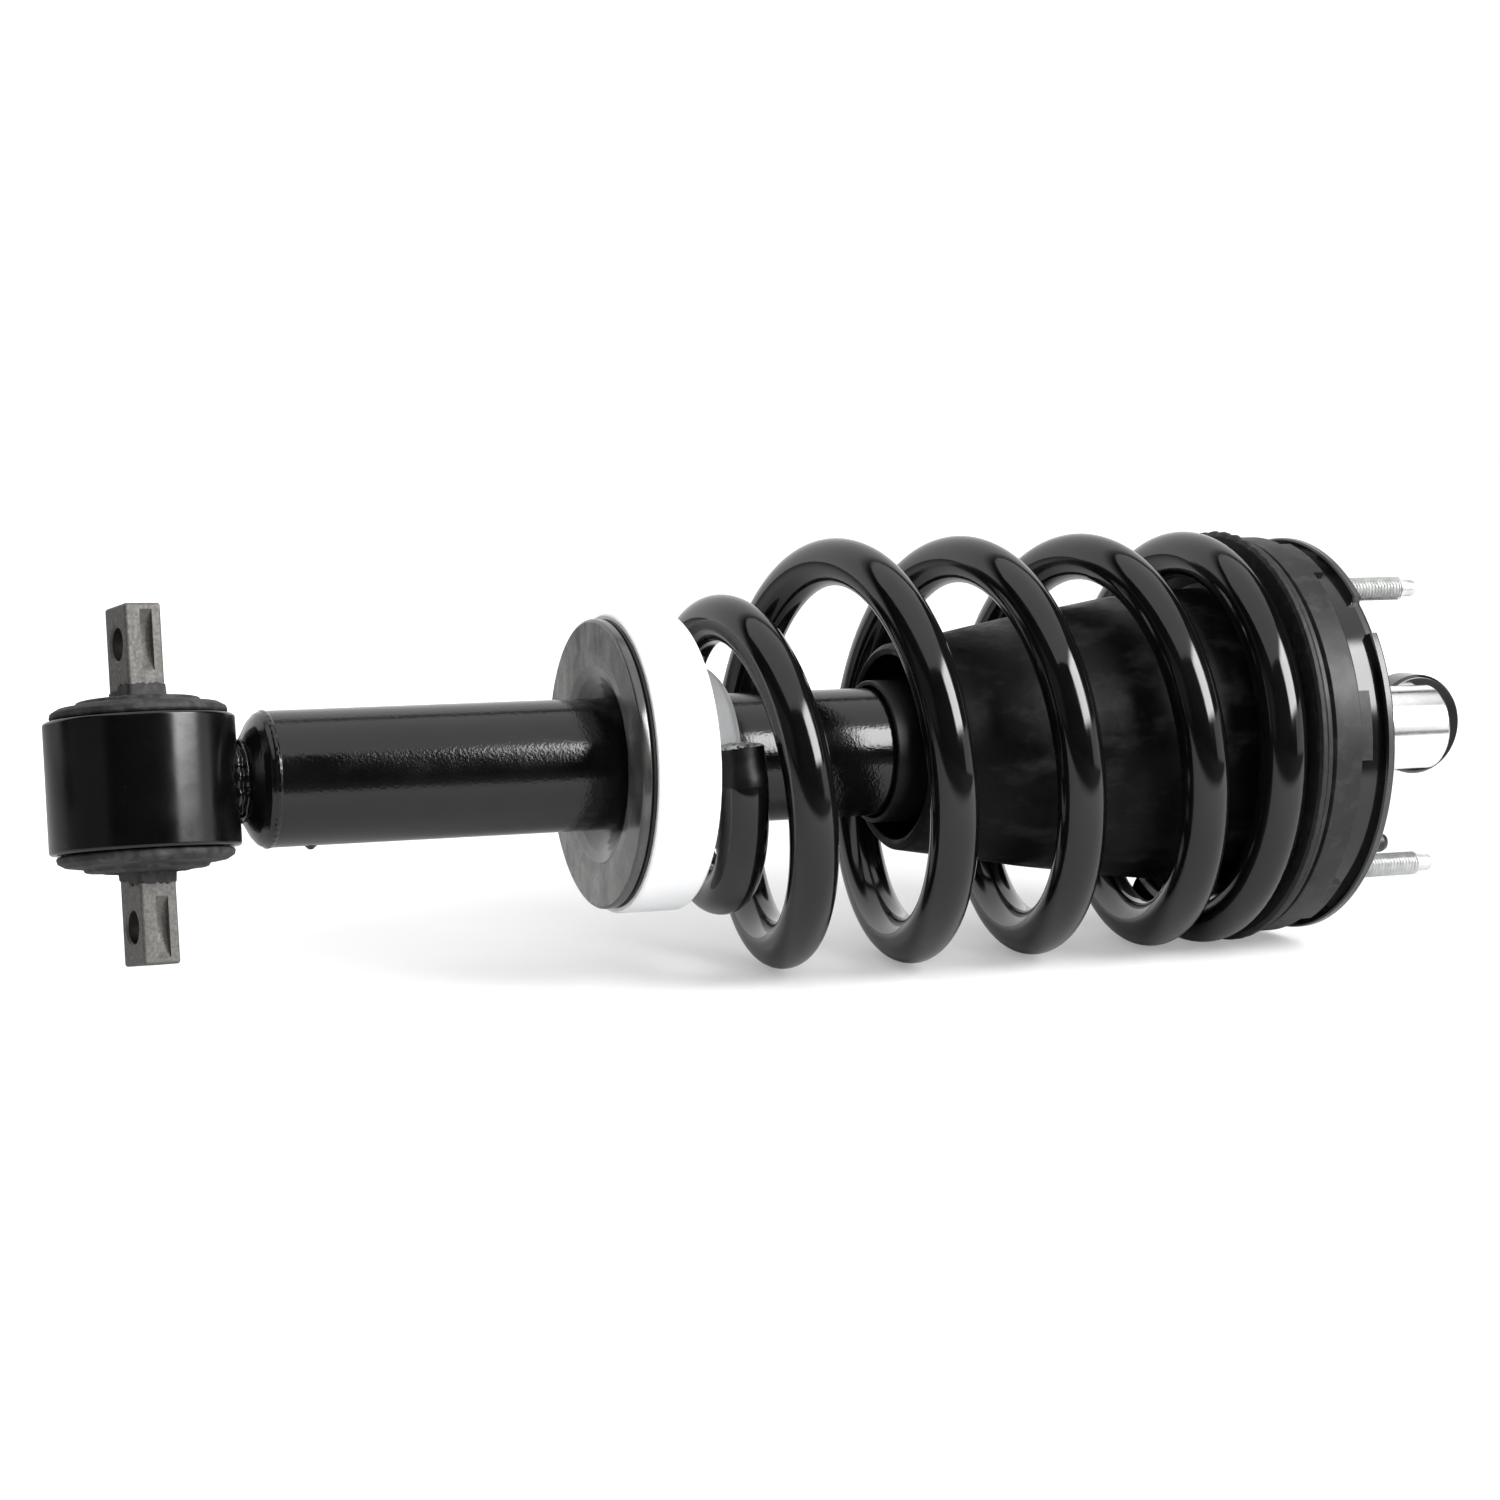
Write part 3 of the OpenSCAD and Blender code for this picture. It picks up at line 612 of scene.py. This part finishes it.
def coil(geo, sides=48):
    """Sweeps the wire; w runs along it, a away from the spring's axis, and b across both."""
    t, p = smooth_coil()
    w = np.gradient(p, axis=0)
    w /= np.linalg.norm(w, axis=1)[:, None]
    q = np.stack([0 * t, -np.cos(2 * np.pi * t), -np.sin(2 * np.pi * t)], -1)
    q -= (q * w).sum(1)[:, None] * w
    a = q / np.linalg.norm(q, axis=1)[:, None]
    b = np.cross(w, a)
    th = np.linspace(0, 2 * math.pi, sides, endpoint=False)
    run = np.concatenate([[0], np.cumsum(np.linalg.norm(np.diff(p, axis=0), axis=1))])
    # The shears bit into the front of the lower tip
    bite = 0.36 * np.exp(-(run / 9.5) ** 6)[:, None] * np.clip(np.cos(th - 0.25), 0, 1) ** 0.7
    rad = WIRE * (1 - bite)
    cos, sin = np.cos(th)[:, None], np.sin(th)[:, None]
    v = p[:, None] + rad[..., None] * (cos * a[:, None] + sin * b[:, None])
    n = len(t)
    scoop = (bite[:n - 1] > 0.02).ravel()
    geo.add(v.reshape(-1, 3), bands(n - 1, sides), [2 if cut else 0 for cut in scoop])
    # Sheared ends: a rounded edge and a slightly hollow, torn face
    for i, sgn in ((0, -1), (n - 1, 1)):
        rows = []
        r = np.random.RandomState(20 + i)
        for share, out in ((1.0, 0.0), (0.985, 0.5), (0.93, 0.9), (0.8, 0.75), (0.55, 0.35),
                           (0.3, 0.25), (0.0, 0.2)):
            jag = 0.35 * r.uniform(-1, 1, sides) * (0 < share < 0.99)
            rise = out + jag - 1.9 * np.cos(th) * (share < 1)
            rows.append(p[i] + sgn * np.outer(rise, w[i])
                        + (rad[i] * share)[:, None] * (cos * a[i] + sin * b[i]))
        fr = bands(len(rows) - 1, sides)
        geo.add(np.concatenate(rows), fr, [0] * sides + [1] * (len(fr) - sides))


g = Geo()
coil(g)
spring = ride(g.make("coil_spring_wire", ["coil_paint", "chipped", "sheared"], 50), "mount",
              ["coil_spring"])

# ---------------------------------------------------------------- boot, shield, bumper
crease, fold = waves(8, 2, 7, 31, 0.05), waves(6, 6, 15, 32, 0.12)
outer = [(305, 40), (307, 42.2), (334, 46.5), (361, 51.5), (387, 55.4), (406, 58.5), (428, 61),
         (450, 61.6), (452.5, 64), (456.4, 64)]
inner = [(456.4, 58), (430, 58), (407, 55.5), (388, 52.4), (362, 48.5), (335, 43.5), (310, 39),
         (306, 37.6)]


def denser(points, step):
    """The same profile with a point at least every step millimetres."""
    out = []
    for a, b in zip(points[:-1], points[1:]):
        n = max(1, int(math.dist(a, b) / step))
        out += [(a[0] + (b[0] - a[0]) * k / n, a[1] + (b[1] - a[1]) * k / n) for k in range(n)]
    return out + [points[-1]]


def boot_shape(x, r, a):
    mid = np.clip((x - 306) / 12, 0, 1) * np.clip((450 - x) / 10, 0, 1)
    return 0 * x, mid * (0.55 * crease(x, a) + 0.22 * fold(x, a))


g = Geo()
ends = fillet(outer + inner, [0.9, 1.2] + [12] * 5 + [4, 2, 0.6, 0] + [12] * 5 + [3, 0.9], 3)
lathe(g, denser([tuple(q) for q in ends], 5), segs=224, disp=boot_shape, place=at(0, 0, 1.5))
boot = ride(g.make("dust_boot_skin", ["boot_rubber"]), "mount", ["dust_boot"])
g = Geo()
wall = [(296.5, 26.9), (296.5, 29), (468, 29), (468, 26.9)]
lathe(g, fillet(wall, [0.8, 0.8, 0.5, 0.5]), segs=192)
ride(g.make("dust_tube_wall", ["shield"]), "mount", ["dust_tube"])
g = Geo()
bump = [(405, 11.6), (405, 18), (409, 21.5), (416, 22.5), (424, 19.5), (432, 23.5),
        (442, 20.5), (451, 24.5), (465.7, 24.5), (465.7, 11.6)]
lathe(g, fillet(bump, [0.5, 2, 3, 4, 3, 4, 3, 3, 1, 0], 4), segs=128)
bumper = ride(g.make("jounce_bumper_foam", ["foam"]), "mount", ["jounce_bumper"])

# ---------------------------------------------------------------- upper mount
torn = waves(14, 30, 110, 41, 0.5)


def serrate(x, r, a):
    # The edge is worn ragged at the top and nearly smooth elsewhere
    on = np.clip((r - 84.5) / 1.5, 0, 1) * (0.14 + 0.86 * np.clip(3.2 * np.cos(a) - 2.5, 0, 1))
    tooth = np.abs(((a * 60 / (2 * math.pi)) % 1) - 0.5) * 2
    return 0.25 * torn(x, a) * on, on * (-1.1 * tooth ** 2 + 0.5 * torn(x + 1, a))


g = Geo()
rim = [(TOP, 58), (TOP, 85.2), (457.4, 86.9), (459.0, 87.1), (460.0, 86), (460.0, 58)]
lathe(g, fillet(rim, [0, 0.5, 0.4, 0.4, 0.3, 0], 3), segs=960, disp=serrate)
ride(g.make("insulator_ring", ["insulator"], 60), "mount", ["insulator"])

g = Geo()
band = [(460.1, 58), (460.1, 84.6), (461, 85.2), (462.8, 85.2), (463.4, 82.4), (464.6, 82.4),
        (465.4, 84.2), (477, 84.2), (477.8, 83.4), (477.8, 58)]
lathe(g, fillet(band, [0, 0.4, 0.5, 0.5, 0.3, 0.3, 0.4, 0.5, 0.4, 0], 3), segs=384)


def block(geo, x0, x1, r0, r1, a0, a1, mat=0, steps=10, c=0.35):
    """A bevelled arc block between two angles from +Z towards -Y, in degrees."""
    prof = fillet([(x0, r0), (x0, r1), (x1, r1), (x1, r0)], c, 2)
    n = len(prof)
    rows = []
    for k in range(steps + 1):
        a = math.radians(a0 + (a1 - a0) * k / steps)
        rows.append(np.stack([prof[:, 0], -prof[:, 1] * math.sin(a), prof[:, 1] * math.cos(a)], -1))
    f = bands(steps, n)
    f += [list(range(n)), [steps * n + j for j in range(n - 1, -1, -1)]]
    geo.add(np.concatenate(rows), f, mat)


# Six tabs round the rim
for k in range(6):
    block(g, 474.5, 482.4, 80.8, 84.05, 60 * k + 12.3, 60 * k + 31.7)
ride(g.make("upper_seat_band", ["satin"]), "mount", ["upper_seat"])


def cutout(x, r, a):
    d = np.degrees(a)
    on = np.clip((d - 42) / 0.6, 0, 1) * np.clip((55 - d) / 0.6, 0, 1)
    return 0 * x, np.where(r > 79, (80 - r) * on, 0)


g = Geo()
disc = [(489.4, 33), (489.4, 83), (490.1, 83.6), (492.7, 83.6), (493.4, 83), (493.4, 33)]
# The outer band of the rim takes the lighter paint: a painted highlight
lathe(g, fillet(disc, [0.5, 0.5, 0.5, 0.6, 0.6, 1.2], 3), segs=720, disp=cutout,
      mats=lambda x, r: 1 if r > 83.2 and 490.5 < x < 492.5 else 0)
lathe(g, fillet([(478, 76.5), (478, 80), (489.5, 80), (489.5, 76.5)], [0.5, 0.8, 0, 0]), segs=320)
lathe(g, fillet([(474, 33), (474, 36), (489.5, 36), (489.5, 33)], [0.5, 0.5, 0, 0]), segs=192)
ride(g.make("mount_plate_pressing", ["plate_paint", "rim_highlight_paint"]), "mount",
     ["mount_plate"])


def thread(x, r, a):
    """A 1.5 mm pitch thread that runs in and out at its ends."""
    on = np.clip((x - 494.2) / 1.5, 0, 1) * np.clip((530.6 - x) / 1.2, 0, 1) * (r > 4.2)
    saw = np.abs(((x / 1.5 - a / (2 * math.pi)) % 1) - 0.5) * 2
    return 0 * x, -0.92 * on * np.clip(1.25 * saw - 0.12, 0, 1)


g = Geo()
for k in range(3):
    ang = math.radians(STUD_CLOCK + 120 * k)
    py, pz = -STUD_CIRCLE * math.sin(ang), STUD_CIRCLE * math.cos(ang)
    shank = [(492.9, 5.4), (493.4, 5.0)] + [(493.5 + 0.15 * i, 4.98) for i in range(248)]
    tip = [(530.9, 4.9), (531.6, 3.75), (532.2, 3.62), (537.0, 3.6), (537.9, 3.3),
           (538.3, 2.6), (538.4, 0)]
    head = [(486.8, 0), (486.8, 8), (489.4, 8), (489.4, 5.4)]
    lathe(g, head + shank + tip, segs=56, closed=False, disp=thread, place=at(0, py, pz))
ride(g.make("stud_threads", ["zinc"], 40), "mount", ["studs"])

g = Geo()
ang = math.radians(STUD_CLOCK + 106)
plug = [(487.9, 0), (487.9, 5.2), (489.4, 5.2), (489.4, 4.2), (506.2, 4.2), (508.6, 3.1),
        (509.4, 0)]
lathe(g, fillet(plug, [0, 0.3, 0.3, 0, 1.5, 1.5, 0], 4), segs=64, closed=False,
      place=at(0, -STUD_CIRCLE * math.sin(ang), STUD_CIRCLE * math.cos(ang)))
ride(g.make("locating_pin_plug", ["pin_plastic"]), "mount", ["locating_pin"])

g = Geo()
cushion = [(475, 14), (475, 33), (493, 33), (491.8, 24), (493, 14)]
lathe(g, fillet(cushion, [0, 0.5, 0.8, 3, 0.5], 4), segs=160)
ride(g.make("mount_rubber_ring", ["boot_rubber"]), "mount", ["mount_rubber"])

g = Geo()
can = [(493.7, 16.35), (493.7, 18.15), (563.4, 18.15), (565, 16.55), (565, 9), (563.2, 9),
       (563.2, 16.35)]
lathe(g, fillet(can, [0.2, 0.3, 0.5, 0.5, 0.3, 0.2, 0], 4), segs=256)
ride(g.make("terminal_sleeve_can", ["mirror"]), "mount", ["terminal_sleeve"])

g = Geo()
puck = [(7, 0), (7, 20.8), (8.6, 21.9), (21, 21.9), (23.4, 19.6), (23.4, 0)]
lathe(g, fillet(puck, [0, 0.8, 0.8, 1.6, 1.6, 0], 5), segs=192, closed=False,
      place=lambda v: np.stack([v[:, 1] + 564.4, v[:, 0], v[:, 2]], -1))
ride(g.make("terminal_housing_cap", ["housing"]), "mount",
     ["terminal_housing"])

# ---------------------------------------------------------------- CAD nodes that stay
KEPT = {
    "bush_shell": "steel", "pressure_tube": "steel", "base_valve": "sintered",
    "rod_guide": "sintered", "rod_seal": "seal", "piston_rod": "rod_chrome",
    "piston": "sintered", "piston_band": "band", "piston_nut": "steel", "rebound_stop": "seal",
    "mount_bush": "steel", "rod_washer": "zinc", "rod_nut": "zinc", "terminal_seal": "seal",
}
for node, finish_name in KEPT.items():
    data = NODES[node].data
    data.materials.clear()
    data.materials.append(M[finish_name])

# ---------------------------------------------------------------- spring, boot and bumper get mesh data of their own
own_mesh(spring)
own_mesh(boot)
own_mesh(bumper)

# ---------------------------------------------------------------- floor and light
def floor():
    """A pale disc of rings that widen outwards."""
    n = 48
    rad = [0.0] + [0.25 * 1.25 ** k for k in range(17)]
    verts = []
    for r in rad:
        for k in range(n):
            a = 2 * math.pi * k / n
            verts.append((-0.25 + r * math.cos(a), r * math.sin(a), FLOOR_Z / 1000))
    me = bpy.data.meshes.new("floor")
    me.from_pydata(verts, [], bands(len(rad) - 1, n))
    ob = linked("floor", me)
    t = Tree("floor")
    b = t.bsdf.inputs
    b["Roughness"].default_value = 0.7
    b["Specular IOR Level"].default_value = 0.1
    s = t.add("ShaderNodeSeparateXYZ")
    t.link(t.coords.outputs["Object"], s.inputs[0])
    path = t.add("ShaderNodeLightPath")
    # Far from the object the floor is as white as the backdrop
    length = t.add("ShaderNodeVectorMath", operation="LENGTH")
    t.link(t.coords.outputs["Object"], length.inputs[0])
    far = t.span(length.outputs["Value"], 0.3, 0.9, 0.30, 1.0)
    t.link(t.math("MULTIPLY", far, path.outputs["Is Camera Ray"]), b["Emission Strength"])
    b["Emission Color"].default_value = (1, 1, 1, 1)
    # Its near part ends before the camera, so the paint mirrors a dark room there
    near = t.math("MULTIPLY", t.span(s.outputs[1], -0.34, -0.26, 1, 0),
                  t.math("SUBTRACT", 1.0, path.outputs["Is Camera Ray"]))
    t.link(t.mix(near, rgb(0.68), rgb(0.02)), b["Base Color"])
    me.materials.append(t.mat)


floor()


def softbox(name, place, look, wide, high, radiance, edge=0.0, mirrored=True):
    """A rectangular light. edge is the share of each side over which it fades out, and one that
    isn't mirrored only lights the surfaces' own colour."""
    data = bpy.data.lights.new(name, "AREA")
    data.shape, data.size, data.size_y = "RECTANGLE", wide, high
    data.energy = radiance * math.pi * wide * high
    if edge:
        data.use_nodes = True
        t = data.node_tree
        geo = t.nodes.new("ShaderNodeNewGeometry")
        sep = t.nodes.new("ShaderNodeSeparateXYZ")
        t.links.new(geo.outputs["Parametric"], sep.inputs[0])
        last = None
        for axis in (0, 1):
            for a, b in ((0, edge), (1, 1 - edge)):
                ramp = t.nodes.new("ShaderNodeMapRange")
                ramp.interpolation_type = "SMOOTHSTEP"
                ramp.inputs["From Min"].default_value = a
                ramp.inputs["From Max"].default_value = b
                t.links.new(sep.outputs[axis], ramp.inputs["Value"])
                if last:
                    times = t.nodes.new("ShaderNodeMath")
                    times.operation = "MULTIPLY"
                    t.links.new(last, times.inputs[0])
                    t.links.new(ramp.outputs["Result"], times.inputs[1])
                    last = times.outputs[0]
                else:
                    last = ramp.outputs["Result"]
        t.links.new(last, t.nodes["Emission"].inputs["Strength"])
    ob = linked(name, data)
    ob.location = place
    ob.rotation_mode = "QUATERNION"
    ob.rotation_quaternion = (look - place).to_track_quat("-Z", "Y")
    ob.visible_camera = False
    ob.visible_glossy = mirrored


MID = P(240, 0, 0)
softbox("key", P(955, -870, 610), MID, 0.94, 0.80, 15, 0.17)
softbox("top", P(260, -384, 1300), P(260, -384, 0), 2.4, 1.925, 1.25)
softbox("left", P(-1300, -250, 300), P(0, 0, 0), 1.6, 0.8, 0.16, 0.2)
softbox("right", P(1450, -640, 90), P(500, 0, 0), 1.1, 0.42, 1.1, 0.1)
softbox("fill", P(-100, -1150, 330), P(200, 0, 0), 0.9, 0.7, 4.5, mirrored=False)

# The room: dark in front, a bright wall behind the object, and white to the camera
world = bpy.data.worlds.new("studio")
bpy.context.scene.world = world
world.use_nodes = True
wt = world.node_tree
bg = wt.nodes["Background"]
bg.inputs["Color"].default_value = (1, 1, 1, 1)
wc = wt.nodes.new("ShaderNodeTexCoord")
sep = wt.nodes.new("ShaderNodeSeparateXYZ")
wt.links.new(wc.outputs["Generated"], sep.inputs[0])
back = wt.nodes.new("ShaderNodeMapRange")
for key, value in (("From Min", 0.44), ("From Max", 0.56), ("To Min", 0.006), ("To Max", 1.1)):
    back.inputs[key].default_value = value
wt.links.new(sep.outputs[1], back.inputs["Value"])
wp = wt.nodes.new("ShaderNodeLightPath")
mx = wt.nodes.new("ShaderNodeMix")
mx.data_type = "FLOAT"
wt.links.new(wp.outputs["Is Camera Ray"], mx.inputs[0])
wt.links.new(back.outputs["Result"], mx.inputs[2])
mx.inputs[3].default_value = 1.0
wt.links.new(mx.outputs[0], bg.inputs["Strength"])

bpy.context.scene.view_settings.view_transform = "Standard"
bpy.context.scene.view_settings.look = "None"
